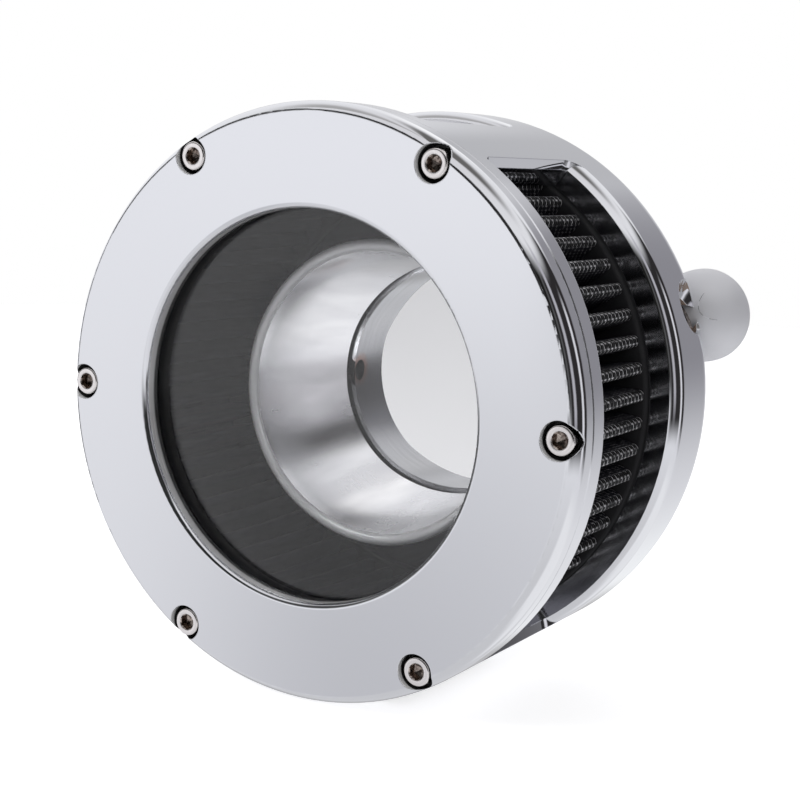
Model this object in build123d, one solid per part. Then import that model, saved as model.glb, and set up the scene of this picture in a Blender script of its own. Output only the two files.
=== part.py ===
"""Round billet air cleaner for an engine intake.

A one-piece chromed housing carries a pleated filter element between its front flange and its
back plate. A recessed ring with six cap screws holds a clear lens over the front, and a
velocity stack leads the air from inside the filter to the throttle bore.

Millimetres. The main axis is Y: the cover ring faces -Y, the engine is on the +Y side and
+Z is up. The origin is the centre of the housing's rear face, where the throttle body meets it.
Depths are measured from that face towards the front. Angles run clockwise from the top, seen
from the front.
"""

from build123d import *
import os
from math import acos, asin, atan, atan2, cos, degrees, hypot, radians, sin, sqrt

# Housing
outer_radius = 80.25
pillar_thickness = 8.35
housing_depth = 86.2
back_plate_depth = 30.35
flange_thickness = 6.1
shoulder_radius = 11.0
joint_chamfer = 0.4

# Rolled rims: the outer edge of the cover ring and the rear edge of every window
rim_width = 2.5
rim_length = 5.2
rim_blend = 0.8

# Windows in the cage, measured where their end walls meet the bevel
side_window_start = 33.9
top_window_half_angle = 18.4
rear_corner_radius = 8.0
front_corner_radius = 3.0
bevel_depth = 3.0
bevel_width = 1.5

# Cover ring and its screws
ring_thickness = 8.8
ring_face_width = 27.75
ring_hole_round = 1.5
screw_count = 6
first_screw_angle = 30.0
screw_edge_distance = 5.25
counterbore_radius = 5.0
head_recess = 0.9
head_radius = 3.96
head_height = 4.85
head_chamfer = 0.35
socket_width = 3.97
socket_depth = 2.6
shank_radius = 2.4
screw_length = 8.6

# Lens and its gasket
lens_overlap = 9.5
lens_thickness = 3.2
lens_chamfer = 0.3
gasket_thickness = 0.5
gasket_width = 8.0

# Filter element
pleat_count = 58
pleat_depth = 15.85
crest_radius = 1.7
valley_radius = 1.4
media_thickness = 1.0
front_cap_thickness = 5.9
rear_cap_thickness = 6.25
rear_cap_stand = 2.25
cap_margin = 0.35
cap_lip = 1.4
cap_round = 0.8

# Throat and velocity stack
throat_radius = 32.1
throat_chamfer = 0.8
stack_front_depth = 59.6
stack_rear_depth = 19.1
stack_mouth_radius = 39.4
stack_rear_radius = 33.2
stack_wall = 2.2
lip_radius = 1.6
collar_radius = 41.6
collar_thickness = 2.5
stack_socket_radius = 39.0
stack_end_gap = 1.5
socket_lead_in = 0.6

# Throttle flange on the rear face
throttle_bolt_count = 3
throttle_bolt_circle_radius = 46.0
throttle_bolt_hole_radius = 3.4
throttle_counterbore_radius = 5.6
throttle_counterbore_depth = 6.6
throttle_groove_radius = 37.6
throttle_seal_stand = 0.4

# Breather bosses and the drilled passages that join them to the throat
boss_edge_distance = 9.0
boss_rise = 23.4
boss_radius = 13.7
boss_length = 12.1
boss_nose_place = 9.1
boss_chamfer = 0.8
breather_socket_radius = 8.0
breather_socket_depth = 8.0
breather_groove_depth = 4.0
breather_bore_radius = 4.0
outlet_radius = 2.75
outlet_depth = 13.9
port_depth = 11.2
port_radius = 5.6
port_mouth_radius = 8.0
plug_recess = 3.4
plug_length = 6.5
plug_socket_width = 4.8
plug_socket_depth = 3.2
plug_chamfer = 0.6

# Seal rings
seal_section_radius = 1.2
groove_side_gap = 0.2

# Fits, and how far a cut runs past the face that it opens on
cut_overrun = 1.0
thread_clearance = 0.02
screw_clearance = 0.3
slip_clearance = 0.05
lens_clearance = 0.3
filter_clearance = 0.3

# Places that follow from the sizes above
ring_front = -(housing_depth + ring_thickness)
housing_front = -housing_depth
head_top = ring_front + head_recess
head_seat = head_top + head_height
back_wall = -back_plate_depth
window_front = -(housing_depth - flange_thickness)
window_rear = back_wall + rim_length
cavity_radius = outer_radius - pillar_thickness
cap_outer_radius = cavity_radius - filter_clearance
pleat_outer_radius = cap_outer_radius - cap_margin
pleat_inner_radius = pleat_outer_radius - pleat_depth
cap_inner_radius = pleat_inner_radius - cap_lip
ring_hole_radius = outer_radius - ring_face_width
lens_radius = ring_hole_radius + lens_overlap
screw_circle_radius = outer_radius - screw_edge_distance
boss_offset = outer_radius - boss_edge_distance
seat_floor = back_wall + rear_cap_thickness - rear_cap_stand
pleat_front = housing_front + front_cap_thickness
pleat_rear = back_wall - rear_cap_stand
spigot_radius = stack_socket_radius - slip_clearance
stack_rear = -stack_rear_depth
stack_socket_floor = stack_rear + stack_end_gap
seal_width = 2 * seal_section_radius
groove_half_width = seal_section_radius + groove_side_gap
breather_seal_centre = breather_socket_radius + slip_clearance + seal_section_radius


def at_angle(angle, shape):
    """Turn a shape modelled at the top round the main axis to its angle."""
    return Rot(0, angle, 0) * shape


def turned(outline):
    """A full ring or disc from an outline drawn as radius and place on the main axis."""
    return revolve(make_face(outline), Axis.Y)


def turned_band(inner_radius, outer_band_radius, front, rear):
    """A plain ring between two radii and two places on the axis."""
    return turned(
        Polyline(
            (inner_radius, front),
            (outer_band_radius, front),
            (outer_band_radius, rear),
            (inner_radius, rear),
            close=True,
        )
    )


def seal_ring(centre_radius, place):
    """A round-section seal ring about the main axis."""
    return Pos(0, place, 0) * Rot(90, 0, 0) * Torus(centre_radius, seal_section_radius)


def rim_arc(edge_place, side):
    """The convex curve of a rolled rim, from the outer cylinder in towards the flat.

    It starts tangent to the outer cylinder at edge_place and ends rim_width further in and
    rim_length along the axis, towards the side given as +1 or -1.
    """
    curve_radius = (rim_width**2 + rim_length**2) / (2 * rim_width)
    sweep = asin(rim_length / curve_radius)
    centre = outer_radius - curve_radius

    def point(angle):
        return (centre + curve_radius * cos(angle), edge_place + side * curve_radius * sin(angle))

    return ThreePointArc(point(0), point(sweep / 2), point(sweep))


def rod(radius, length, chamfer_size):
    """A short rod along +Z from the origin with chamfered ends."""
    body = Cylinder(radius, length, align=(Align.CENTER, Align.CENTER, Align.MIN))
    return chamfer(body.edges().filter_by(GeomType.CIRCLE), chamfer_size)


def hex_recess(width, depth):
    """A hexagonal pocket that opens at the origin and runs along +Z."""
    corner_radius = width / 2 / cos(radians(30))
    return extrude(RegularPolygon(corner_radius, 6), depth)


# Housing


def housing_blank():
    """The turned blank: outer cylinder, rounded shoulder, cavity, filter seat and throat."""
    shoulder_edge = outer_radius - shoulder_radius
    diagonal = shoulder_radius * sin(radians(45))
    shoulder = ThreePointArc(
        (outer_radius, -shoulder_radius),
        (shoulder_edge + diagonal, -shoulder_radius + diagonal),
        (shoulder_edge, 0),
    )
    hub_radius = cap_inner_radius - filter_clearance
    inside = Polyline(
        (shoulder_edge, 0),
        (throat_radius + throat_chamfer, 0),
        (throat_radius, -throat_chamfer),
        (throat_radius, stack_socket_floor + throat_chamfer),
        (throat_radius + throat_chamfer, stack_socket_floor),
        (stack_socket_radius, stack_socket_floor),
        (stack_socket_radius, back_wall + socket_lead_in),
        (stack_socket_radius + socket_lead_in, back_wall),
        (hub_radius, back_wall),
        (hub_radius, seat_floor),
        (cavity_radius, seat_floor),
        (cavity_radius, housing_front),
        (outer_radius - joint_chamfer, housing_front),
        (outer_radius, housing_front + joint_chamfer),
        (outer_radius, -shoulder_radius),
    )
    return turned(shoulder + inside)


def window_outline():
    """The section of a window: square front edge and a rolled rim at the rear."""
    reach = outer_radius + rim_length
    rim_inner = outer_radius - rim_width
    inside_radius = cap_inner_radius
    rim = rim_arc(window_rear, -1)
    rest = Polyline(
        (rim_inner, back_wall),
        (inside_radius, back_wall),
        (inside_radius, window_front),
        (reach, window_front),
        (reach, window_rear),
        (outer_radius, window_rear),
    )
    return make_face(rim + rest)


def window_end(wall_side):
    """The milled end of a window, modelled at the top with its wall on the given side.

    The end wall stands one cutter radius from the cutter's axis. It is straight up to the
    bevel and flares out through it.
    """
    bevel_radius = outer_radius - bevel_depth
    far_side = -wall_side * cut_overrun
    wall = wall_side * rear_corner_radius
    outline = make_face(
        Polyline(
            (far_side, window_front),
            (wall, window_front),
            (wall, window_rear),
            (far_side, window_rear),
            close=True,
        )
    )
    corners = outline.vertices().filter_by(lambda v: abs(v.X - wall) < 0.01).sort_by(Axis.Y)
    outline = fillet(corners[1], rear_corner_radius)
    corners = outline.vertices().filter_by(lambda v: abs(v.X - wall) < 0.01).sort_by(Axis.Y)
    outline = fillet(corners[0], front_corner_radius)
    flare = degrees(atan(bevel_width / bevel_depth))
    straight = extrude(outline, cap_inner_radius - bevel_radius)
    flared = extrude(outline, bevel_depth * 2, taper=-flare)
    return Pos(0, 0, bevel_radius) * (straight + flared)


def window(first_angle, last_angle):
    """One opening of the cage between two end walls, with its milled ends."""
    bevel_radius = outer_radius - bevel_depth
    cutter_angle = degrees(asin(rear_corner_radius / bevel_radius))
    start = first_angle + cutter_angle
    end = last_angle - cutter_angle
    section = window_outline()
    opening = at_angle(start - 90, revolve(section, Axis.Y, revolution_arc=end - start))
    whole_band = revolve(section, Axis.Y)
    first_end = whole_band & at_angle(start, window_end(-1))
    last_end = whole_band & at_angle(end, window_end(1))
    return [opening, first_end, last_end]


def boss(side):
    """A breather boss on the rear face, with a ball nose that grows out of the shoulder."""
    nose_depth = boss_length - boss_nose_place
    up = (Align.CENTER, Align.CENTER, Align.MIN)
    post = Cylinder(boss_radius, nose_depth, align=up)
    rear_edge = post.edges().filter_by(GeomType.CIRCLE).sort_by(Axis.Z)[0]
    nose = Pos(0, 0, nose_depth) * Sphere(boss_radius, arc_size1=0, align=up)
    post = chamfer(rear_edge, boss_chamfer) + nose
    face = Pos(-side * boss_offset, -boss_rise, 0) * Cylinder(outer_radius - shoulder_radius, 4 * boss_length)
    post += Pos(0, 0, boss_chamfer) * Cylinder(boss_radius, boss_length, align=up) & face
    return Pos(side * boss_offset, boss_length, boss_rise) * Rot(90, 0, 0) * post


def passage_frame(side):
    """The drilled passage's line, with its origin on the outer cylinder and +Z outwards."""
    outlet = Vector(side * throat_radius, -outlet_depth, 0)
    along_x = boss_offset - throat_radius
    slope = hypot(along_x, boss_rise)
    ux = along_x / slope
    uz = boss_rise / slope
    middle = throat_radius * ux
    to_surface = -middle + sqrt(middle**2 + outer_radius**2 - throat_radius**2)
    mouth = Vector(side * (throat_radius + to_surface * ux), -port_depth, to_surface * uz)
    return Plane(origin=mouth, z_dir=mouth - outlet), (mouth - outlet).length


def passage_cuts(side):
    """Breather socket, its seal groove, and the passage from the port to the throat."""
    frame, length = passage_frame(side)
    down = (Align.CENTER, Align.CENTER, Align.MAX)
    drilling = frame * Cylinder(outlet_radius, length + outlet_radius, align=down)
    thread_depth = plug_recess + plug_length
    tapped = frame * Cylinder(port_radius, thread_depth, align=down)
    flare = port_mouth_radius - port_radius
    mouth = frame * Pos(0, 0, -flare) * Cone(
        port_radius,
        port_radius + 2 * flare,
        2 * flare,
        align=(Align.CENTER, Align.CENTER, Align.MIN),
    )
    rear = Pos(side * boss_offset, boss_length, boss_rise) * Rot(90, 0, 0)
    up = (Align.CENTER, Align.CENTER, Align.MIN)
    socket = rear * Cylinder(breather_socket_radius, breather_socket_depth, align=up)
    groove = rear * Pos(0, 0, breather_groove_depth) * Cylinder(
        breather_seal_centre + seal_section_radius,
        2 * groove_half_width,
    )
    bore_length = boss_length + outlet_depth
    bore = rear * Cylinder(breather_bore_radius, bore_length, align=up)
    return [drilling, tapped, mouth, socket, groove, bore]


def throttle_hole():
    """A throttle screw hole with its counterbore, modelled at the top."""
    centre = Pos(0, 0, throttle_bolt_circle_radius) * Rot(90, 0, 0)
    through = centre * Cylinder(throttle_bolt_hole_radius, 2 * back_plate_depth)
    recess = Pos(0, back_wall, throttle_bolt_circle_radius) * Rot(90, 0, 0) * Cylinder(
        throttle_counterbore_radius,
        2 * throttle_counterbore_depth,
    )
    return [through, recess]


def cover_thread():
    """A tapped hole in the front flange for a cover screw, modelled at the top."""
    depth = flange_thickness + cut_overrun
    return Pos(0, housing_front, screw_circle_radius) * Rot(-90, 0, 0) * Cylinder(
        shank_radius + thread_clearance,
        depth,
        align=(Align.CENTER, Align.CENTER, Align.MIN),
    )


def housing():
    body = housing_blank()
    for side in (-1, 1):
        body += boss(side)
    side_start = side_window_start
    top_half = top_window_half_angle
    windows = window(side_start, 180 - side_start)
    windows += window(180 + side_start, 360 - side_start)
    windows += window(-top_half, top_half)
    windows += window(180 - top_half, 180 + top_half)
    cuts = windows
    cuts.append(
        turned_band(
            throttle_groove_radius - groove_half_width,
            throttle_groove_radius + groove_half_width,
            throttle_seal_stand - seal_width,
            cut_overrun,
        )
    )
    for side in (-1, 1):
        cuts += passage_cuts(side)
    for number in range(throttle_bolt_count):
        for hole in throttle_hole():
            cuts.append(at_angle(number * 360 / throttle_bolt_count, hole))
    for number in range(screw_count):
        cuts.append(at_angle(first_screw_angle + number * 360 / screw_count, cover_thread()))
    for cut in cuts:
        body -= cut
    return body


# Cover ring, lens and screws


def cover_ring():
    rim = rim_arc(ring_front + rim_length, -1)
    rebate_floor = housing_front - lens_thickness - gasket_thickness
    rebate_radius = lens_radius + lens_clearance
    outline = Polyline(
        (outer_radius - rim_width, ring_front),
        (ring_hole_radius, ring_front),
        (ring_hole_radius, rebate_floor),
        (rebate_radius, rebate_floor),
        (rebate_radius, housing_front),
        (outer_radius - joint_chamfer, housing_front),
        (outer_radius, housing_front - joint_chamfer),
        (outer_radius, ring_front + rim_length),
    )
    face = make_face(rim + outline)
    front_corners = face.vertices().filter_by(lambda v: abs(v.Y - ring_front) < 0.01).sort_by(Axis.X)
    face = fillet(front_corners[0], ring_hole_round)
    front_corners = face.vertices().filter_by(lambda v: abs(v.Y - ring_front) < 0.01).sort_by(Axis.X)
    face = fillet(front_corners[-1], rim_blend)
    ring = revolve(face, Axis.Y)
    cuts = []
    for number in range(screw_count):
        angle = first_screw_angle + number * 360 / screw_count
        centre = Pos(0, head_seat, screw_circle_radius)
        recess = centre * Rot(90, 0, 0) * Cylinder(
            counterbore_radius,
            ring_thickness,
            align=(Align.CENTER, Align.CENTER, Align.MIN),
        )
        hole = centre * Rot(90, 0, 0) * Cylinder(shank_radius + screw_clearance, 2 * ring_thickness)
        cuts += [at_angle(angle, recess), at_angle(angle, hole)]
    for cut in cuts:
        ring -= cut
    return ring


def cover_screw():
    """A socket-head cap screw modelled on the main axis with its head seat at the origin."""
    head = Rot(90, 0, 0) * Cylinder(
        head_radius,
        head_height,
        align=(Align.CENTER, Align.CENTER, Align.MIN),
    )
    head = chamfer(head.edges().filter_by(GeomType.CIRCLE).sort_by(Axis.Y)[0], head_chamfer)
    shank = Rot(-90, 0, 0) * Cylinder(
        shank_radius,
        screw_length,
        align=(Align.CENTER, Align.CENTER, Align.MIN),
    )
    shank = chamfer(shank.edges().filter_by(GeomType.CIRCLE).sort_by(Axis.Y)[-1], head_chamfer)
    recess = Pos(0, -head_height, 0) * Rot(-90, 0, 0) * hex_recess(socket_width, socket_depth)
    return head + shank - recess


def cover_screws():
    screw = cover_screw()
    placed = []
    for number in range(screw_count):
        angle = first_screw_angle + number * 360 / screw_count
        placed.append(at_angle(angle, Pos(0, head_seat, screw_circle_radius) * screw))
    return placed


def window_lens():
    lens = turned_band(0, lens_radius, housing_front - lens_thickness, housing_front)
    return chamfer(lens.edges().filter_by(GeomType.CIRCLE), lens_chamfer)


def lens_gasket():
    front = housing_front - lens_thickness - gasket_thickness
    edge = lens_radius - lens_chamfer
    return turned_band(edge - gasket_width, edge, front, front + gasket_thickness)


# Filter element


def pleat_wire(crest, valley):
    """One skin of the folded media as a closed line of arcs and straight flanks.

    crest and valley are the radii of the skin's outer and inner bends. Their centres are the
    same for both skins, so that the media has one thickness all round.
    """
    crest_centre = pleat_outer_radius - crest_radius
    valley_centre = pleat_inner_radius + valley_radius
    half_pitch = radians(180 / pleat_count)

    def turn(point, angle):
        x, z = point
        return (x * cos(angle) + z * sin(angle), z * cos(angle) - x * sin(angle))

    dx = valley_centre * sin(half_pitch)
    dz = valley_centre * cos(half_pitch) - crest_centre
    span = hypot(dx, dz)
    normal = atan2(dx, dz) - acos((crest + valley) / span)
    nx = sin(normal)
    nz = cos(normal)
    crest_end = (crest * nx, crest_centre + crest * nz)
    valley_start = (
        valley_centre * sin(half_pitch) - valley * nx,
        valley_centre * cos(half_pitch) - valley * nz,
    )
    crest_top = (0, crest_centre + crest)
    valley_foot = turn((0, valley_centre - valley), half_pitch)
    crest_start = (-crest_end[0], crest_end[1])
    valley_end = turn((-valley_start[0], valley_start[1]), 2 * half_pitch)
    edges = []
    for number in range(pleat_count):
        angle = 2 * half_pitch * number
        start, top, end, next_start, foot, next_end, following = (
            turn(point, angle)
            for point in (
                crest_start,
                crest_top,
                crest_end,
                valley_start,
                valley_foot,
                valley_end,
                turn(crest_start, 2 * half_pitch),
            )
        )
        edges.append(ThreePointArc(start, top, end))
        edges.append(Line(end, next_start))
        edges.append(ThreePointArc(next_start, foot, next_end))
        edges.append(Line(next_end, following))
    return Wire(edges)


def filter_pleats():
    outer_skin = pleat_wire(crest_radius, valley_radius - media_thickness)
    inner_skin = pleat_wire(crest_radius - media_thickness, valley_radius)
    section = Face(outer_skin, [inner_skin])
    element = extrude(section, pleat_rear - pleat_front, dir=(0, 0, 1))
    return Pos(0, pleat_rear, 0) * Rot(90, 0, 0) * element


def filter_cap(front, rear):
    """A moulded end cap with rounded rims."""
    face = make_face(
        Polyline(
            (cap_inner_radius, front),
            (cap_outer_radius, front),
            (cap_outer_radius, rear),
            (cap_inner_radius, rear),
            close=True,
        )
    )
    return revolve(fillet(face.vertices(), cap_round), Axis.Y)


# Velocity stack


def stack_inner_radius(place):
    """Radius of the stack's conical bore at a place on the axis."""
    lip_centre = -(stack_front_depth - lip_radius)
    share = (place - stack_rear) / (lip_centre - stack_rear)
    return stack_rear_radius + share * (stack_mouth_radius - stack_rear_radius)


def velocity_stack():
    lip_place = -(stack_front_depth - lip_radius)
    lip_centre = stack_mouth_radius + lip_radius
    front_half = ThreePointArc(
        (stack_mouth_radius, lip_place),
        (lip_centre, lip_place - lip_radius),
        (lip_centre + lip_radius, lip_place),
    )
    neck_angle = acos((stack_wall - lip_radius) / lip_radius)
    neck = (lip_centre + lip_radius * cos(neck_angle), lip_place + lip_radius * sin(neck_angle))
    rear_half = ThreePointArc(
        (lip_centre + lip_radius, lip_place),
        (
            lip_centre + lip_radius * cos(neck_angle / 2),
            lip_place + lip_radius * sin(neck_angle / 2),
        ),
        neck,
    )
    collar_front = back_wall - collar_thickness
    body = Polyline(
        neck,
        (stack_inner_radius(collar_front) + stack_wall, collar_front),
        (collar_radius, collar_front),
        (collar_radius, back_wall),
        (spigot_radius, back_wall),
        (spigot_radius, stack_rear - socket_lead_in),
        (spigot_radius - socket_lead_in, stack_rear),
        (stack_rear_radius, stack_rear),
        (stack_mouth_radius, lip_place),
    )
    groove = turned_band(
        stack_groove_radius(),
        stack_socket_radius,
        stack_seal_place() - groove_half_width,
        stack_seal_place() + groove_half_width,
    )
    return turned(front_half + rear_half + body) - groove


def stack_groove_radius():
    """Floor of the seal groove, so that the ring just reaches the socket wall."""
    return spigot_radius - seal_width


def stack_seal_place():
    """The seal sits half way along the spigot."""
    return (back_wall + stack_rear) / 2


# Plugs and breather seals


def passage_plug(side):
    """A threaded plug with a hexagonal recess, seated in the outer end of a passage."""
    frame = passage_frame(side)[0]
    body = Pos(0, 0, -plug_length) * rod(port_radius - thread_clearance, plug_length, plug_chamfer)
    recess = Pos(0, 0, -plug_socket_depth) * hex_recess(plug_socket_width, plug_socket_depth)
    return frame * Pos(0, 0, -plug_recess) * (body - recess)


def breather_seal(side):
    """A seal ring in the groove of a breather socket."""
    centre = Pos(side * boss_offset, boss_length - breather_groove_depth, boss_rise)
    return centre * Rot(90, 0, 0) * Torus(breather_seal_centre, seal_section_radius)


parts = {
    "housing": housing(),
    "cover_ring": cover_ring(),
    "cover_screws": Compound(children=cover_screws()),
    "window_lens": window_lens(),
    "lens_gasket": lens_gasket(),
    "filter_pleats": filter_pleats(),
    "filter_front_cap": filter_cap(housing_front, pleat_front),
    "filter_rear_cap": filter_cap(pleat_rear, seat_floor),
    "velocity_stack": velocity_stack(),
    "stack_seal": seal_ring(stack_groove_radius() + seal_section_radius, stack_seal_place()),
    "throttle_seal": seal_ring(throttle_groove_radius, throttle_seal_stand - seal_section_radius),
    "passage_plug_left": passage_plug(-1),
    "passage_plug_right": passage_plug(1),
    "breather_seal_left": breather_seal(-1),
    "breather_seal_right": breather_seal(1),
}

os.makedirs("parts", exist_ok=True)
for name, shape in parts.items():
    export_step(shape, f"parts/{name}.step")
    print(name, round(shape.volume / 1000, 2), "cm3")
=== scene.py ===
from math import acos, atan2, cos, degrees, hypot, pi, radians, sin

import bmesh
import bpy
from bpy.props import FloatProperty, FloatVectorProperty, IntProperty, PointerProperty
from mathutils import Matrix, Vector


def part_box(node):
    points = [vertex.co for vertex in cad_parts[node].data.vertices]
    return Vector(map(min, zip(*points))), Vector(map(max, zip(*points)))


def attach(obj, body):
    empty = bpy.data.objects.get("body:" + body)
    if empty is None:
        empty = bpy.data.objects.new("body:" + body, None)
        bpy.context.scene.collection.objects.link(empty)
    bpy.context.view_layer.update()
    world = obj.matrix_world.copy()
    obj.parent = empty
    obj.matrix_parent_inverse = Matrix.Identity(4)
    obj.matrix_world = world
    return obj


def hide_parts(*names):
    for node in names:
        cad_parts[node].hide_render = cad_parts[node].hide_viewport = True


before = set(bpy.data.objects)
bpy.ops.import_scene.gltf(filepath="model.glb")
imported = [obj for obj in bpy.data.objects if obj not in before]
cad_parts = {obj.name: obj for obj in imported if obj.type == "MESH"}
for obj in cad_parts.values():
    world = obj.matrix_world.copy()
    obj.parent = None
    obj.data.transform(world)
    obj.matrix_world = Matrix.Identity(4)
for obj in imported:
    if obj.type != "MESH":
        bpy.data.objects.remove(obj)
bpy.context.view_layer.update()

bl_info = {
    "name": "Round Air Cleaner",
    "version": (1, 0, 0),
    "blender": (4, 5, 0),
    "location": "3D View > Sidebar > Air Cleaner",
    "description": "Dresses a round billet air cleaner and its studio",
    "category": "Object",
}

MM = 0.001


# Sizes and colours


def mm_setting(name, description, millimetres):
    return FloatProperty(
        name=name, description=description, default=millimetres * MM, unit="LENGTH"
    )


def rgb_setting(name, description, colour):
    return FloatVectorProperty(
        name=name, description=description, default=colour, size=3, subtype="COLOR"
    )


class ChromeSettings(bpy.types.PropertyGroup):
    colour: rgb_setting(
        "Chrome colour", "Tint of the plated housing and cover ring", (0.80, 0.81, 0.835)
    )
    roughness: FloatProperty(
        name="Roughness",
        description="Roughness of the buffed plating",
        default=0.035,
        min=0.0,
        max=1.0,
    )
    bore_colour: rgb_setting(
        "Bore colour", "Tint of the bored throat behind the stack", (0.74, 0.745, 0.76)
    )
    edge_round: mm_setting("Edge rounding", "Radius that buffing leaves on sharp edges", 0.35)


class HousingSettings(bpy.types.PropertyGroup):
    outer_radius: mm_setting("Outer radius", "Radius of the housing and the cover ring", 80.25)
    shoulder_radius: mm_setting("Shoulder radius", "Rounding of the housing's rear shoulder", 11.0)
    rim_width: mm_setting("Rim width", "Depth of a rolled rim below the outer cylinder", 2.5)
    rim_length: mm_setting("Rim length", "Length of a rolled rim along the axis", 5.2)
    back_wall: mm_setting("Back wall", "Place of the windows' rear wall on the main axis", -30.35)
    boss_offset: mm_setting(
        "Boss offset", "Distance of a breather boss to the side of the main axis", 71.25
    )
    boss_rise: mm_setting("Boss rise", "Height of a breather boss above the main axis", 23.4)
    boss_radius: mm_setting("Boss radius", "Radius of a breather boss and its ball nose", 13.7)
    boss_nose_place: mm_setting(
        "Boss nose place", "Place of the ball nose's centre on the main axis", 9.1
    )
    throat_radius: mm_setting("Throat radius", "Radius of the throat bore", 32.1)


class FilterSettings(bpy.types.PropertyGroup):
    pleats: IntProperty(
        name="Pleats", description="Number of folds round the element", default=58, min=3
    )
    crest_radius: mm_setting("Crest radius", "Outer bend of a fold", 1.7)
    valley_radius: mm_setting("Valley radius", "Inner bend of a fold", 1.4)
    thickness: mm_setting("Media thickness", "Thickness of the gauze and its two wire meshes", 1.0)
    mesh_pitch: mm_setting("Mesh pitch", "Distance between neighbouring wires of the mesh", 1.2)
    gauze_colour: rgb_setting(
        "Gauze colour", "Colour of the oiled gauze behind the mesh", (0.004, 0.004, 0.0043)
    )
    wire_colour: rgb_setting("Wire colour", "Colour of the coated wire mesh", (0.016, 0.016, 0.017))
    cap_colour: rgb_setting("Cap colour", "Colour of the moulded end caps", (0.008, 0.008, 0.009))


class ScrewSettings(bpy.types.PropertyGroup):
    count: IntProperty(name="Screws", description="Number of cover screws", default=6, min=1)
    circle_radius: mm_setting("Screw circle", "Radius of the circle that the screws stand on", 75.0)
    first_angle: FloatProperty(
        name="First angle",
        description="Angle of the first screw, clockwise from the top",
        default=radians(30),
        subtype="ANGLE",
    )
    colour: rgb_setting("Screw colour", "Tint of the stainless screws", (0.93, 0.895, 0.88))


class StageSettings(bpy.types.PropertyGroup):
    floor_colour: rgb_setting("Floor colour", "Colour of the pale floor", (0.80, 0.80, 0.81))
    lens: FloatProperty(
        name="Lens",
        description="Focal length of the camera on a 36 mm sensor",
        default=71.84,
    )


class AirCleanerSettings(bpy.types.PropertyGroup):
    chrome: PointerProperty(type=ChromeSettings)
    housing: PointerProperty(type=HousingSettings)
    element: PointerProperty(type=FilterSettings)
    screws: PointerProperty(type=ScrewSettings)
    stage: PointerProperty(type=StageSettings)


def settings():
    return bpy.context.scene.air_cleaner


# Places and radii that the CAD solids fix and the finishes follow
CROSS_HOLE = Vector((32.1, -13.9, 0.0)) * MM
PORT_MOUTH = Vector((75.87, -11.2, 26.16)) * MM
CAVITY_RADIUS = 71.9 * MM
SOCKET_RADIUS = 8.0 * MM
SOCKET_DRILLING_RADIUS = 4.0 * MM
LENS_HOLE_RADIUS = 52.5 * MM
LENS_HOLE_ROUND = 1.5 * MM
SCREW_RECESS_RADIUS = 5.0 * MM
CAP_INNER_RADIUS = 54.0 * MM
MEDIA_INNER_RADIUS = 55.4 * MM

# How far the caps that close the bosses' walls lie under the balls' surface
WEB_DEPTH = 0.06 * MM


# Node helpers. A helper that is given a socket works in the tree that the socket is in.


def put(value, socket):
    """Link another node's socket to this one, or set a constant on it."""
    if isinstance(value, bpy.types.NodeSocket):
        socket.id_data.links.new(value, socket)
    else:
        socket.default_value = value


def node(tree, kind, inputs=None, **values):
    """Add a node, set its properties, and set or link its inputs."""
    made = tree.nodes.new(kind)
    for name, value in values.items():
        setattr(made, name, value)
    for name, value in (inputs or {}).items():
        put(value, made.inputs[name])
    return made


def set_inputs(made, **inputs):
    """Set or link a node's inputs, whose names have underscores here for spaces."""
    for title, value in inputs.items():
        put(value, made.inputs[title.replace("_", " ")])


def tree_of(values):
    return next(value.id_data for value in values if isinstance(value, bpy.types.NodeSocket))


def maths(operation, *terms):
    inputs = dict(enumerate(terms))
    return node(tree_of(terms), "ShaderNodeMath", inputs, operation=operation).outputs[0]


def plus(first, second):
    return maths("ADD", first, second)


def minus(first, second):
    return maths("SUBTRACT", first, second)


def times(first, second):
    return maths("MULTIPLY", first, second)


def times_plus(first, second, third):
    return maths("MULTIPLY_ADD", first, second, third)


def greater(first, second):
    return maths("MAXIMUM", first, second)


def fraction(value, low, high, **values):
    """Nought up to the low limit, one from the high limit, and a rise between."""
    limits = {"Value": value, "From Min": low, "From Max": high}
    return node(value.id_data, "ShaderNodeMapRange", limits, **values).outputs[0]


def axes(vector):
    return node(vector.id_data, "ShaderNodeSeparateXYZ", {"Vector": vector}).outputs


def vector_of(x=0.0, y=0.0, z=0.0):
    inputs = {"X": x, "Y": y, "Z": z}
    return node(tree_of((x, y, z)), "ShaderNodeCombineXYZ", inputs).outputs[0]


def vector_maths(operation, *terms):
    inputs = dict(enumerate(terms))
    return node(tree_of(terms), "ShaderNodeVectorMath", inputs, operation=operation).outputs


def axis_distance(x, z):
    return maths("SQRT", plus(maths("POWER", x, 2.0), maths("POWER", z, 2.0)))


def ramp(factor, stops):
    """A colour ramp through (place, colour or grey) stops."""
    made = node(factor.id_data, "ShaderNodeValToRGB", {"Fac": factor})
    elements = made.color_ramp.elements
    while len(elements) < len(stops):
        elements.new(0.5)
    for element, (place, value) in zip(elements, stops):
        element.position = place
        colour = (value, value, value) if isinstance(value, (int, float)) else value
        element.color = (*colour[:3], 1.0)
    return made.outputs["Color"]


def mix_colour(factor, first, second):
    """The first colour where the factor is nought, and the second where it is one."""
    made = node(factor.id_data, "ShaderNodeMix", data_type="RGBA", blend_type="MIX")
    for index, value in ((0, factor), (6, first), (7, second)):
        if index and not isinstance(value, bpy.types.NodeSocket):
            value = (*value[:3], 1.0)
        put(value, made.inputs[index])
    return made.outputs[2]


def shaded(colour, share):
    return tuple(part * share for part in colour)


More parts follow.
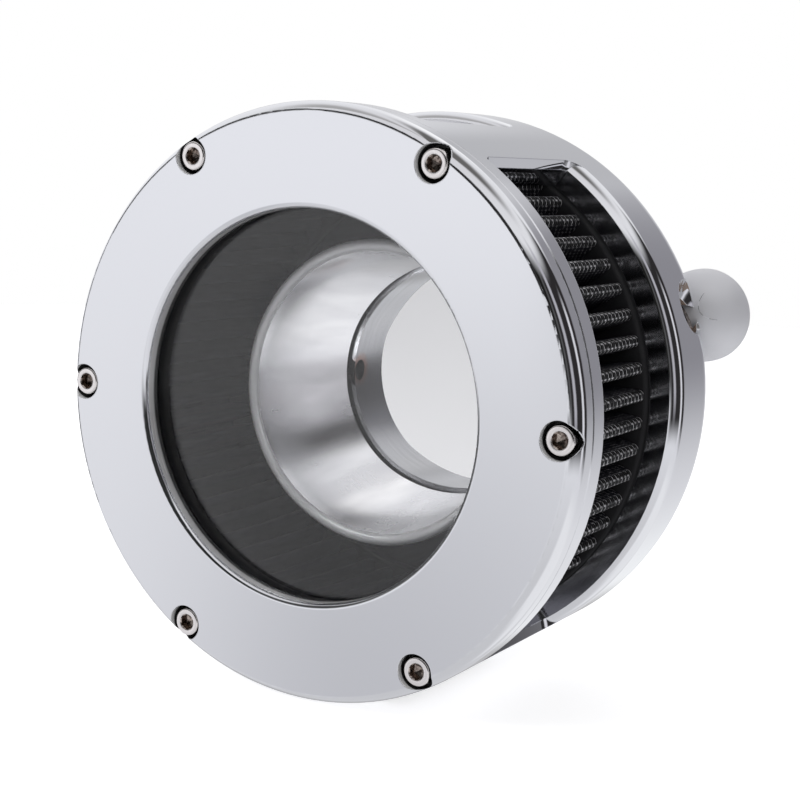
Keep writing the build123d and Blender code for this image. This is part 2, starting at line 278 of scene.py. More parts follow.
def shader_group(name, inputs, *outputs):
    """A new shader group that takes numbers, each with its default, and gives numbers."""
    group = bpy.data.node_groups.new(name, "ShaderNodeTree")
    for title, default in inputs.items():
        socket = group.interface.new_socket(title, in_out="INPUT", socket_type="NodeSocketFloat")
        socket.default_value = default
    for title in outputs:
        group.interface.new_socket(title, in_out="OUTPUT", socket_type="NodeSocketFloat")
    return group, group.nodes.new("NodeGroupInput").outputs, group.nodes.new("NodeGroupOutput")


def use_group(tree, name, **inputs):
    made = node(tree, "ShaderNodeGroup", node_tree=bpy.data.node_groups[name])
    set_inputs(made, **inputs)
    return made.outputs


def object_point(tree):
    return node(tree, "ShaderNodeTexCoord").outputs["Object"]


def stretched(point, scale):
    inputs = {"Vector": point, "Scale": scale}
    return node(point.id_data, "ShaderNodeMapping", inputs).outputs["Vector"]


def noise(point, scale, detail=2.0, rough=0.5):
    inputs = {"Vector": point, "Scale": scale, "Detail": detail, "Roughness": rough}
    return node(point.id_data, "ShaderNodeTexNoise", inputs).outputs["Fac"]


# Shared surface effects


def buffing_group():
    """Faint waves and hairlines left by the buffing wheel under plating."""
    group, given, out = shader_group(
        "buffing_marks", {"Wave": 1.0, "Hairline": 1.0}, "Height", "Haze"
    )
    point = object_point(group)
    wave = times(noise(point, 38.0, 1.0), given["Wave"])
    hairline = noise(stretched(point, (900.0, 900.0, 60.0)), 1.0, 3.0, 0.6)
    hairline = times(times(hairline, given["Hairline"]), 0.02)
    smudge = noise(point, 22.0, 4.0, 0.62)
    haze = greater(times(minus(smudge, 0.45), 0.12), 0.0)
    set_inputs(out, Height=plus(wave, hairline), Haze=haze)


def turning_group():
    """Fine rings that a lathe tool leaves round the main axis, broken along their length."""
    group, given, out = shader_group("turning_marks", {"Pitch": 0.4 * MM}, "Height", "Streak")
    x, y, z = axes(object_point(group))
    along = plus(y, axis_distance(x, z))
    cell = maths("DIVIDE", along, given["Pitch"])
    rings = maths("SINE", times(cell, 2 * pi))
    turn = maths("ARCTAN2", x, z)
    place = vector_of(times(cell, 0.35), maths("COSINE", turn), maths("SINE", turn))
    streak = noise(place, 1.3, 3.0, 0.55)
    height = plus(times(rings, 0.35), streak)
    set_inputs(out, Height=height, Streak=streak)


def dust_group():
    """Where dust settles: upward faces, in patches."""
    group, given, out = shader_group("settled_dust", {"Amount": 0.1}, "Mask")
    up = axes(node(group, "ShaderNodeNewGeometry").outputs["Normal"])["Z"]
    facing = fraction(up, -0.2, 1.0)
    patches = fraction(noise(object_point(group), 420.0, 5.0, 0.7), 0.42, 0.72)
    mask = times(times(facing, patches), given["Amount"])
    set_inputs(out, Mask=mask)


def grain_group():
    """The fine grain of moulded rubber, with slow changes of shade."""
    group, given, out = shader_group("rubber_grain", {"Scale": 2600.0}, "Height", "Shade")
    point = object_point(group)
    fine = noise(point, given["Scale"], 3.0, 0.6)
    set_inputs(out, Height=fine, Shade=noise(point, 90.0, 2.0))


def mesh_group():
    """Woven wire on the piece's own UV map, one cell for each unit of U and V."""
    group, given, out = shader_group("wire_mesh", {"Wire": 0.34}, "Height", "Mask", "Crown")
    u, v, _ = axes(node(group, "ShaderNodeUVMap", uv_map="weave").outputs["UV"])
    half_wire = times(given["Wire"], 0.5)
    heights, masks = [], []
    for across, along, swing in ((u, v, 0.5), (v, u, -0.5)):
        offset = maths("ABSOLUTE", minus(maths("FRACT", across), 0.5))
        share = maths("DIVIDE", offset, half_wire)
        inside = maths("LESS_THAN", share, 1.0)
        section = minus(1.0, maths("POWER", share, 2.0))
        section = maths("SQRT", greater(section, 0.0))
        lane = times(maths("FLOOR", across), pi)
        lift = maths("COSINE", plus(times(along, pi), lane))
        lift = times_plus(lift, swing, 0.5)
        heights.append(times(times_plus(lift, 0.6, section), inside))
        masks.append(inside)
    height = greater(*heights)
    crown = fraction(height, 1.1, 1.55)
    set_inputs(out, Height=height, Mask=greater(*masks), Crown=crown)


def build_shared_groups():
    for make in (buffing_group, turning_group, dust_group, grain_group, mesh_group):
        make()


# Finishes


def cleared_tree(owner):
    """The node tree of a new material or world, with its first nodes taken out."""
    owner.use_nodes = True
    owner.node_tree.nodes.clear()
    return owner.node_tree


def new_finish(name):
    material = bpy.data.materials.new(name)
    tree = cleared_tree(material)
    shader = node(tree, "ShaderNodeBsdfPrincipled")
    node(tree, "ShaderNodeOutputMaterial", {"Surface": shader.outputs["BSDF"]})
    return material, tree, shader


def bump(height, distance, normal=None):
    inputs = {"Height": height, "Distance": distance, "Strength": 1.0}
    if normal is not None:
        inputs["Normal"] = normal
    return node(height.id_data, "ShaderNodeBump", inputs).outputs["Normal"]


def edge_normal(tree, radius):
    """The surface's normal, turned near sharp edges as if they were rounded."""
    return node(tree, "ShaderNodeBevel", {"Radius": radius}, samples=4).outputs["Normal"]


def chrome_finish():
    """Bright plating over a buffed face, with a trace of haze and softened edges."""
    chrome = settings().chrome
    material, tree, shader = new_finish("bright_chrome")
    marks = use_group(tree, "buffing_marks", Wave=1.0, Hairline=1.0)
    dust = use_group(tree, "settled_dust", Amount=0.035)["Mask"]
    tint = mix_colour(marks["Haze"], chrome.colour, shaded(chrome.colour, 0.93))
    rough = plus(marks["Haze"], chrome.roughness)
    set_inputs(
        shader,
        Metallic=1.0,
        Base_Color=mix_colour(dust, tint, (0.62, 0.61, 0.6)),
        Roughness=plus(rough, dust),
        Normal=bump(marks["Height"], 0.01 * MM, edge_normal(tree, chrome.edge_round)),
    )
    return material


def bore_finish():
    """The bored and plated throat, with the tool's rings and a stain at the cross holes."""
    material, tree, shader = new_finish("bored_throat")
    marks = use_group(tree, "turning_marks", Pitch=0.6 * MM)
    plating = shaded(settings().chrome.bore_colour, 0.72)
    tint = mix_colour(marks["Streak"], plating, (0.42, 0.425, 0.44))
    point = object_point(tree)
    x, y, z = axes(point)
    folded = vector_of(maths("ABSOLUTE", x), y, z)
    gap = vector_maths("DISTANCE", folded, CROSS_HOLE)["Value"]
    gap = times_plus(noise(point, 500.0, 2.0), 1.6 * MM, gap)
    stain = fraction(gap, 3.8 * MM, 6.4 * MM)
    set_inputs(
        shader,
        Metallic=1.0,
        Base_Color=mix_colour(stain, (0.56, 0.38, 0.32), tint),
        Roughness=times_plus(marks["Streak"], 0.16, 0.12),
        Normal=bump(marks["Height"], 0.004 * MM),
    )
    return material


def depth_shade_finish(name, top, reach, shades, rounding=0.05 * MM, gloss=0.5):
    """A narrow recess whose colour follows a ramp of painted shade with depth, from its top along
    the axis.
    """
    material, tree, shader = new_finish(name)
    marks = use_group(tree, "turning_marks", Pitch=0.5 * MM)
    depth = fraction(axes(object_point(tree))["Y"], top, top + reach)
    set_inputs(
        shader,
        Metallic=0.6 * gloss,
        Specular_IOR_Level=gloss,
        Base_Color=ramp(depth, shades),
        Roughness=times_plus(marks["Streak"], 0.2, 0.14),
        Normal=bump(marks["Height"], 0.008 * MM, edge_normal(tree, rounding)),
    )
    return material


def marked_finish(name, group, inputs, mark, metallic, colours, rough, depth):
    """A finish whose colour and roughness follow one output of a group, bumped by its height."""
    material, tree, shader = new_finish(name)
    marks = use_group(tree, group, **inputs)
    set_inputs(
        shader,
        Metallic=metallic,
        Base_Color=mix_colour(marks[mark], *colours),
        Roughness=times_plus(marks[mark], *rough),
        Normal=bump(marks["Height"], depth),
    )
    return material


def wall_finish():
    """The rear wall of the side windows, in darker and rougher plating than the rest, which dims
    the pleats it mirrors.
    """
    colours = (0.62, 0.62, 0.64), (0.5, 0.5, 0.51)
    buffed = "buffing_marks", {"Wave": 2.0, "Hairline": 3.0}, "Haze"
    return marked_finish("dull_wall", *buffed, 1.0, colours, (1.0, 0.13), 0.04 * MM)


def boss_finish():
    """The breather bosses, blasted and lightly plated."""
    colours = (0.87, 0.875, 0.90), (0.81, 0.815, 0.84)
    blasted = "rubber_grain", {"Scale": 2400.0}, "Shade"
    return marked_finish("satin_boss", *blasted, 0.65, colours, (0.08, 0.62), 0.02 * MM)


def lip_highlight_finish():
    """The stack's rolled lip, brushed, in a pale and nearly non-metal finish that keeps it white: a
    painted highlight.
    """
    colours = (0.97, 0.97, 0.98), (0.93, 0.93, 0.945)
    turned = "turning_marks", {"Pitch": 0.4 * MM}, "Streak"
    return marked_finish("pale_lip", *turned, 0.1, colours, (0.1, 0.28), 0.004 * MM)


def stack_finish():
    """Spun aluminium, hand-polished to a soft sheen with streaks along the axis."""
    material, tree, shader = new_finish("polished_stack")
    marks = use_group(tree, "turning_marks", Pitch=0.9 * MM)
    buff = use_group(tree, "buffing_marks", Wave=1.2, Hairline=0.5)
    streaks = noise(stretched(object_point(tree), (1.0, 0.12, 1.0)), 75.0, 3.0, 0.6)
    streaks = fraction(streaks, 0.38, 0.66)
    rough = times_plus(streaks, -0.08, 0.26)
    rough = times_plus(marks["Streak"], 0.03, rough)
    set_inputs(
        shader,
        Metallic=1.0,
        Anisotropic=0.5,
        Anisotropic_Rotation=0.25,
        Tangent=node(tree, "ShaderNodeTangent", direction_type="RADIAL", axis="Y").outputs[0],
        Base_Color=mix_colour(streaks, (0.86, 0.86, 0.88), (0.97, 0.97, 0.98)),
        Roughness=plus(rough, buff["Haze"]),
        Normal=bump(buff["Height"], 0.02 * MM),
    )
    return material


def screw_finish():
    """Stainless steel, warm, with a brushed grain and worn edges."""
    material, tree, shader = new_finish("stainless_screw")
    buff = use_group(tree, "buffing_marks", Wave=0.3, Hairline=6.0)
    blotch = noise(object_point(tree), 700.0, 3.0)
    colour = tuple(settings().screws.colour)
    set_inputs(
        shader,
        Metallic=1.0,
        Base_Color=mix_colour(blotch, colour, shaded(colour, 0.9)),
        Roughness=times_plus(blotch, 0.12, 0.15),
        Normal=bump(buff["Height"], 0.04 * MM, edge_normal(tree, 0.12 * MM)),
    )
    return material


def socket_finish():
    """The broached socket of a screw, in random blotches from dark brown to pale brown."""
    material, tree, shader = new_finish("broached_socket")
    socket_blotches = noise(object_point(tree), 900.0, 4.0, 0.6)
    shades = [(0.38, (0.10, 0.07, 0.06)), (0.62, (0.62, 0.54, 0.48))]
    set_inputs(
        shader,
        Metallic=1.0,
        Base_Color=ramp(socket_blotches, shades),
        Roughness=times_plus(socket_blotches, 0.25, 0.12),
        Normal=bump(socket_blotches, 0.03 * MM),
    )
    return material


def lens_finish():
    """Clear cast sheet with the faintest wave and a few specks of dust."""
    material, tree, shader = new_finish("clear_lens")
    shader.inputs["Base Color"].default_value = (0.98, 0.985, 0.99, 1.0)
    shader.inputs["Metallic"].default_value = 0.0
    shader.inputs["Transmission Weight"].default_value = 1.0
    shader.inputs["IOR"].default_value = 1.42
    dust = use_group(tree, "settled_dust", Amount=0.01)
    wave = noise(object_point(tree), 26.0, 1.0)
    set_inputs(shader, Roughness=dust["Mask"], Normal=bump(wave, 0.004 * MM))
    return material


def rubber_finish(name, colour, roughness, scale):
    material, tree, shader = new_finish(name)
    grain = use_group(tree, "rubber_grain", Scale=scale)
    dust = use_group(tree, "settled_dust", Amount=0.07)["Mask"]
    tint = mix_colour(grain["Shade"], colour, shaded(colour, 1.5))
    set_inputs(
        shader,
        Base_Color=mix_colour(dust, tint, (0.22, 0.215, 0.21)),
        Roughness=times_plus(grain["Shade"], 0.12, roughness),
        Normal=bump(grain["Height"], 0.05 * MM),
    )
    return material


def lit_outer_mask(point):
    """One on the outer parts of the folds that face away from the main axis: there the media gets
    painted highlights, and elsewhere painted shade.
    """
    x, _, z = axes(point)
    lit_outer = fraction(axis_distance(x, z), 62.0 * MM, 70.5 * MM)
    radial = vector_maths("NORMALIZE", vector_of(x=x, z=z))["Vector"]
    facing = node(point.id_data, "ShaderNodeNewGeometry").outputs["True Normal"]
    lean = vector_maths("DOT_PRODUCT", facing, radial)["Value"]
    return times(lit_outer, fraction(lean, -0.02, 0.3))


def media_finish():
    """Oiled gauze between coated wire meshes, with painted highlights where the wires cross on the
    outer parts and darker, bluish painted shade on the inner parts.
    """
    element = settings().element
    material, tree, shader = new_finish("pleated_media")
    mesh = use_group(tree, "wire_mesh", Wire=0.42)
    point = object_point(tree)
    lit_outer = lit_outer_mask(point)
    gauze = noise(point, 1800.0, 3.0, 0.65)
    patchy = fraction(noise(point, 700.0, 1.0), 0.35, 0.6)
    back = mix_colour(gauze, element.gauze_colour, shaded(element.gauze_colour, 2.0))
    # Painted shade: the gauze on the inner parts of the folds is darker and bluish.
    back = mix_colour(lit_outer, (0.004, 0.004, 0.008), back)
    # Painted highlight: wire crowns on the outer parts turn pale and metallic.
    painted_glint = times(times(mesh["Crown"], patchy), lit_outer)
    # Painted shade: the wire on the inner parts is darker and bluish.
    wire = mix_colour(lit_outer, (0.005, 0.005, 0.010), element.wire_colour)
    wire = mix_colour(painted_glint, wire, (0.9, 0.9, 0.92))
    gauze_normal = bump(times(gauze, lit_outer), 0.08 * MM)
    relief = times(mesh["Height"], lit_outer)
    set_inputs(
        shader,
        Specular_IOR_Level=0.22,
        Base_Color=mix_colour(mesh["Mask"], back, wire),
        Metallic=times(painted_glint, 0.9),
        Roughness=times_plus(times(mesh["Mask"], lit_outer), -0.3, 0.8),
        Normal=bump(relief, 0.2 * MM, gauze_normal),
    )
    return material


# Mesh helpers


def placed(name, data):
    """A new object in the scene."""
    made = bpy.data.objects.new(name, data)
    bpy.context.scene.collection.objects.link(made)
    return made


def new_piece(name, mesh, replaced, materials=()):
    """Link a finished mesh as a piece of the object that stands for its CAD node."""
    piece = placed(name, mesh)
    for material in materials:
        mesh.materials.append(material)
    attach(piece, "root")
    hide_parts(replaced)


# A rule states one surface of a CAD solid: a turned one by the line or arc of its section in
# (radius, place on the axis), a ball by its centre and radius, and a rod along the main axis
# by a point of its own axis and its radius.


def section_normal(rule, radius, place):
    """Distance from a turned surface's section, and its normal as (radial, along)."""
    if rule[0] == "arc":
        dr = radius - rule[1][0]
        dy = place - rule[1][1]
        reach = hypot(dr, dy) or 1.0
        return abs(reach - rule[2]), (dr / reach, dy / reach)
    (r1, y1), (r2, y2) = rule[1], rule[2]
    length = hypot(r2 - r1, y2 - y1)
    normal = ((y2 - y1) / length, -(r2 - r1) / length)
    return abs((radius - r1) * normal[0] + (place - y1) * normal[1]), normal


def surface_normal(rule, point):
    """Distance of a point from a rule's surface, and the surface's normal there."""
    if rule[0] in ("arc", "line"):
        radius = hypot(point.x, point.z) or 1e-9
        gap, (out, along) = section_normal(rule, radius, point.y)
        return gap, Vector((out * point.x / radius, along, out * point.z / radius))
    arm = point - rule[1]
    if rule[0] == "rod":
        arm.y = 0.0
    return abs(arm.length - rule[2]), arm.normalized()


def true_normals(mesh, rules, tolerance=0.003 * MM, agree=0.93, square=0.99999):
    """Give every corner that lies on a rule's surface that surface's own normal."""
    normals = [corner.vector.copy() for corner in mesh.corner_normals]
    points = [vertex.co for vertex in mesh.vertices]
    for face in mesh.polygons:
        corners = [mesh.loops[index].vertex_index for index in face.loop_indices]
        flat = face.normal
        if abs(flat.y) > square:
            for index in face.loop_indices:
                normals[index] = flat.copy()
            continue
        for rule in rules:
            found = []
            for corner in corners:
                gap, normal = surface_normal(rule, points[corner])
                if gap > tolerance:
                    break
                found.append(normal)
            if len(found) < len(corners):
                continue
            side = sum(found, Vector()).normalized().dot(flat)
            if abs(side) < agree:
                continue
            for index, normal in zip(face.loop_indices, found):
                normals[index] = normal if side > 0 else -normal
            break
    for face in mesh.polygons:
        face.use_smooth = True
    mesh.normals_split_custom_set([tuple(normal) for normal in normals])


def node_copy(node_name, rules, addition=None):
    """A copy of a CAD node's mesh with its surfaces' true normals, and no material."""
    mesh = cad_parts[node_name].data.copy()
    mesh.name = node_name + "_skin"
    mesh.materials.clear()
    if addition:
        addition(mesh)
    true_normals(mesh, rules)
    return mesh


def cylinder_rule(radius, front=-0.1, rear=0.0):
    """The section line of a cylinder about the main axis."""
    return ("line", (radius, front), (radius, rear))


def rim_rule(edge_place):
    """The section arc of a rolled rim that starts at edge_place on the outer cylinder."""
    housing = settings().housing
    radius = (housing.rim_width**2 + housing.rim_length**2) / (2 * housing.rim_width)
    return ("arc", (housing.outer_radius - radius, edge_place), radius)


def face_outwards(mesh, fill=False):
    """Turn every face outwards, after filling the open ends if asked."""
    work = bmesh.new()
    work.from_mesh(mesh)
    if fill:
        bmesh.ops.holes_fill(work, edges=work.edges, sides=0)
    bmesh.ops.recalc_face_normals(work, faces=work.faces)
    work.to_mesh(mesh)
    work.free()


def grid_mesh(name, rows, close_rows, close_ends=False, fill_ends=False):
    """A skin over rows of points, each row joined to the next and each point to the next."""
    width = len(rows[0])
    faces = []
    for row in range(len(rows) if close_ends else len(rows) - 1):
        here, there = row * width, (row + 1) % len(rows) * width
        for step in range(width if close_rows else width - 1):
            following = (step + 1) % width
            faces.append((here + step, here + following, there + following, there + step))
    if fill_ends:
        faces.append(tuple(reversed(range(width))))
        faces.append(tuple(range((len(rows) - 1) * width, len(rows) * width)))
    mesh = bpy.data.meshes.new(name)
    mesh.from_pydata([point for row in rows for point in row], [], faces)
    face_outwards(mesh)
    return mesh


def lathe(name, outline, steps, close=True):
    """A turned shell from (radius, place) points, in order round the section."""
    angles = [2 * pi * step / steps for step in range(steps)]
    rows = [[(r * sin(a), y, r * cos(a)) for r, y in outline] for a in angles]
    return grid_mesh(name, rows, close, close_ends=True)


def smooth_by_angle(mesh, degrees_of_bend):
    """Smooth shading, with the edges kept sharp that bend by more than the given angle."""
    for face in mesh.polygons:
        face.use_smooth = True
    mesh.set_sharp_from_angle(angle=radians(degrees_of_bend))


def arc_points(centre, radius, start, end, steps):
    """Points of an arc in the section, from start to end in degrees from the radial way."""
    turns = [radians(start + (end - start) * step / steps) for step in range(steps + 1)]
    return [(centre[0] + radius * cos(turn), centre[1] + radius * sin(turn)) for turn in turns]


def hexagon_reach(angle, across):
    """Distance from a hexagon's centre to its edge in a direction."""
    turn = (angle + pi / 6) % (pi / 3) - pi / 6
    return across / 2 / cos(turn)


# Geometry node trees


def repeat_tree():
    """Copies of a piece, evenly round the main axis."""
    tree = bpy.data.node_groups.new("round_the_axis", "GeometryNodeTree")
    for title, kind in (
        ("Piece", "Object"),
        ("Count", "Int"),
        ("First Angle", "Float"),
        ("Join Distance", "Float"),
        ("Finish", "Material"),
        ("Inner Finish", "Material"),
    ):
        tree.interface.new_socket(title, in_out="INPUT", socket_type="NodeSocket" + kind)
    tree.interface.new_socket("Geometry", in_out="OUTPUT", socket_type="NodeSocketGeometry")
    given = tree.nodes.new("NodeGroupInput").outputs

    def step(kind, inputs, **values):
        return node(tree, "GeometryNode" + kind, inputs, **values).outputs

    places = step("MeshLine", {"Count": given["Count"], "Offset": (0.0, 0.0, 0.0)})
    places = step("MeshToPoints", {"Mesh": places[0]})
    number = step("InputIndex", {})[0]
    pitch = maths("DIVIDE", 2 * pi, given["Count"])
    angle = times_plus(number, pitch, given["First Angle"])
    turn = node(tree, "FunctionNodeEulerToRotation", {0: vector_of(y=angle)})
    source = step("ObjectInfo", {"Object": given["Piece"]})["Geometry"]
    around = {"Points": places[0], "Instance": source, "Rotation": turn.outputs[0]}
    real = step("RealizeInstances", {"Geometry": step("InstanceOnPoints", around)[0]})
    joining = {"Geometry": real[0], "Distance": given["Join Distance"]}
    coat = {"Geometry": step("MergeByDistance", joining)[0], "Material": given["Finish"]}
    inner_coat = {
        "Geometry": step("SetMaterial", coat)[0],
        "Selection": step("InputNamedAttribute", {"Name": "inner"}, data_type="BOOLEAN")[0],
        "Material": given["Inner Finish"],
    }
    node(tree, "NodeGroupOutput", {"Geometry": step("SetMaterial", inner_coat)[0]})


def round_the_axis(name, source_mesh, count, first_angle, join_distance, finish, inner_finish):
    """The plain mesh of a piece's copies round the main axis, from the geometry nodes."""
    tree = bpy.data.node_groups["round_the_axis"]
    source = bpy.data.objects.new(source_mesh.name, source_mesh)
    holder = placed(name + "_maker", bpy.data.meshes.new(name + "_maker"))
    modifier = holder.modifiers.new("maker", "NODES")
    modifier.node_group = tree
    values = {
        "Piece": source,
        "Count": count,
        "First Angle": first_angle,
        "Join Distance": join_distance,
        "Finish": finish,
        "Inner Finish": inner_finish,
    }
    for item in tree.interface.items_tree:
        if item.item_type == "SOCKET" and item.in_out == "INPUT":
            modifier[item.identifier] = values[item.name]
    holder.update_tag()
    bpy.context.view_layer.update()
    evaluated = holder.evaluated_get(bpy.context.evaluated_depsgraph_get())
    mesh = bpy.data.meshes.new_from_object(evaluated)
    mesh.name = name
    holder.modifiers.remove(modifier)
    bpy.data.objects.remove(holder)
    bpy.data.objects.remove(source)
    return mesh


# Pieces


def boss_centre(side):
    """The centre of a boss's ball nose, on the right for 1 and on the left for -1."""
    housing = settings().housing
    return Vector((side * housing.boss_offset, housing.boss_nose_place, housing.boss_rise))


def line_gap(point):
    """Distance of a point from the drilled passage's line on its own side."""
    way = (PORT_MOUTH - CROSS_HOLE).normalized()
    arm = Vector((abs(point.x), point.y, point.z)) - CROSS_HOLE
    return (arm - way * arm.dot(way)).length


def boss_webs(mesh):
    """Close the wall between each port's flare and its boss with a cap of the boss's ball."""
    rings, ring_angle, steps = 12, 3.6, 48
    reach = settings().housing.boss_radius - WEB_DEPTH
    work = bmesh.new()
    work.from_mesh(mesh)
    for side in (-1, 1):
        centre = boss_centre(side)
        mouth = Vector((side * PORT_MOUTH.x, PORT_MOUTH.y, PORT_MOUTH.z))
        way = (mouth - centre).normalized()
        first = way.orthogonal().normalized()
        second = way.cross(first)
        rows = []
        for ring in range(1, rings + 1):
            swing = radians(ring_angle * ring)
            row = []
            for step in range(steps):
                turn = 2 * pi * step / steps
                across = first * cos(turn) + second * sin(turn)
                arm = way * cos(swing) + across * sin(swing)
                row.append(work.verts.new(centre + arm * reach))
            rows.append(row)
        pole = work.verts.new(centre + way * reach)
        for step in range(steps):
            following = (step + 1) % steps
            work.faces.new((pole, rows[0][step], rows[0][following]))
            for inner, outer in zip(rows, rows[1:]):
                work.faces.new((inner[step], outer[step], outer[following], inner[following]))
    work.to_mesh(mesh)
    work.free()


# The housing's finishes, in the order of their slots
CHROME, BORE, BOSS, PORT, WALL, PASSAGE = range(6)

# Limits by which a face of the housing gets its finish. The gaps are distances from the
# drilled passage's line, and the socket's is a distance from the boss's axis.
THROAT_MARGIN = 0.2 * MM
STACK_SOCKET_REACH = 39.5 * MM
REAR_FACE_MARGIN = 1.0 * MM
BOSS_MARGINS = (-0.2 * MM, 0.06 * MM)
BOSS_SKIN_REAR = 2.9 * MM
PASSAGE_GAP = 4.5 * MM
PORT_GAP = 5.75 * MM
FLARE_GAP = 8.8 * MM
SOCKET_CLEARANCE = 8.6 * MM
FLARE_SLANT = 0.93
WALL_MARGIN = 0.05 * MM
WALL_SQUARENESS = 0.9


def housing_finish_slot(housing, face):
    """The slot of the finish that a face of the housing gets from its place and slant."""
    centre = face.center
    arm = Vector(
        (
            abs(centre.x) - housing.boss_offset,
            centre.y - housing.boss_nose_place,
            centre.z - housing.boss_rise,
        )
    )
    across = hypot(arm.x, arm.z)
    above_boss = (arm.length if arm.y < 0 else across) - housing.boss_radius
    gap = line_gap(centre)
    radius = hypot(centre.x, centre.z)
    shoulder = housing.shoulder_radius
    level = (radius - housing.outer_radius + shoulder) / radius
    crown = Vector((centre.x * level, max(centre.y + shoulder, 0.0), centre.z * level))
    in_stack_socket = radius < STACK_SOCKET_REACH and centre.y < -REAR_FACE_MARGIN
    if radius < housing.throat_radius + THROAT_MARGIN or in_stack_socket and gap > PASSAGE_GAP:
        return BORE
    if BOSS_MARGINS[0] < above_boss < BOSS_MARGINS[1] and arm.y < BOSS_SKIN_REAR:
        return BOSS
    if gap < PASSAGE_GAP:
        return PASSAGE
    slanted = crown.normalized().dot(face.normal) < FLARE_SLANT
    in_flare = gap < FLARE_GAP and across > SOCKET_CLEARANCE and slanted and centre.y < 0.0
    if gap < PORT_GAP or in_flare:
        return PORT
    on_wall = abs(centre.y - housing.back_wall) < WALL_MARGIN
    return WALL if on_wall and abs(face.normal.y) > WALL_SQUARENESS else CHROME


class AIRCLEANER_OT_housing(bpy.types.Operator):
    """Chromed one-piece housing with its bored throat"""

    bl_idname = "air_cleaner.housing"
    bl_label = "Housing"

    def execute(self, context):
        housing = settings().housing
        outer = housing.outer_radius
        shoulder = housing.shoulder_radius
        rules = [
            cylinder_rule(outer),
            ("arc", (outer - shoulder, -shoulder), shoulder),
            rim_rule(housing.back_wall + housing.rim_length),
            cylinder_rule(housing.throat_radius),
            cylinder_rule(CAVITY_RADIUS),
        ]
        for side in (-1, 1):
            boss = boss_centre(side)
            rules.append(("ball", boss, housing.boss_radius))
            for radius in (housing.boss_radius, SOCKET_RADIUS, SOCKET_DRILLING_RADIUS):
                rules.append(("rod", boss, radius))
            rules.append(("ball", boss, housing.boss_radius - WEB_DEPTH))
        mesh = node_copy("housing", rules, boss_webs)
        top, reach = -17.0 * MM, 10.0 * MM
        # Painted shade: the port's walls are dark brown, lighter towards the rear, and the drilled
        # passage is near-black.
        brown = [(0.0, (0.16, 0.115, 0.09)), (1.0, (0.30, 0.23, 0.19))]
        black = [(0.0, 0.008), (1.0, 0.005)]
        port = depth_shade_finish("dull_port", top, reach, brown, 0.4 * MM)
        passage = depth_shade_finish("drilled_passage", top, reach, black, gloss=0.0)
        finishes = [chrome_finish(), bore_finish(), boss_finish(), port, wall_finish(), passage]
        new_piece("housing_shell", mesh, "housing", finishes)
        for face in mesh.polygons:
            face.material_index = housing_finish_slot(housing, face)
        return {"FINISHED"}


class AIRCLEANER_OT_cover_ring(bpy.types.Operator):
    """Chromed cover ring with its rolled rim and screw recesses"""

    bl_idname = "air_cleaner.cover_ring"
    bl_label = "Cover ring"

    def execute(self, context):
        housing = settings().housing
        screws = settings().screws
        low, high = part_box("cover_ring")
        centres = []
        for number in range(screws.count):
            angle = screws.first_angle + number * 2 * pi / screws.count
            centres.append(Vector((sin(angle), 0.0, cos(angle))) * screws.circle_radius)
        hole_round = (LENS_HOLE_RADIUS + LENS_HOLE_ROUND, low.y + LENS_HOLE_ROUND)
        rules = [
            rim_rule(low.y + housing.rim_length),
            cylinder_rule(housing.outer_radius, low.y, high.y),
            cylinder_rule(LENS_HOLE_RADIUS, low.y, high.y),
            ("arc", hole_round, LENS_HOLE_ROUND),
            *(("rod", centre, SCREW_RECESS_RADIUS) for centre in centres),
        ]
        mesh = node_copy("cover_ring", rules)
        # Painted shade: each screw recess is pale near its top and near-black deeper down.
        shades = [(0.0, 0.85), (0.36, 0.66), (0.44, 0.04), (1.0, 0.02)]
        recess = depth_shade_finish("dull_recess", low.y, 4.0 * MM, shades, 0.7 * MM)
        # Painted shade: the lens hole's wall is grey, then near-black deeper in.
        shades = [(0.0, 0.60), (0.42, 0.42), (0.5, 0.03), (1.0, 0.015)]
        hole = depth_shade_finish("lens_hole", low.y, 8.0 * MM, shades)
        finishes = [bpy.data.materials["bright_chrome"], recess, hole]
        new_piece("cover_ring_shell", mesh, "cover_ring", finishes)
        recess_limit = SCREW_RECESS_RADIUS + 0.06 * MM
        hole_limit = LENS_HOLE_RADIUS + 0.1 * MM
        for face in mesh.polygons:
            x, y, z = face.center
            gap = min(hypot(x - centre.x, z - centre.z) for centre in centres)
            if gap < recess_limit and y > low.y + 0.02 * MM:
                face.material_index = 1
            elif hypot(x, z) < hole_limit and y > low.y + LENS_HOLE_ROUND:
                face.material_index = 2
        return {"FINISHED"}


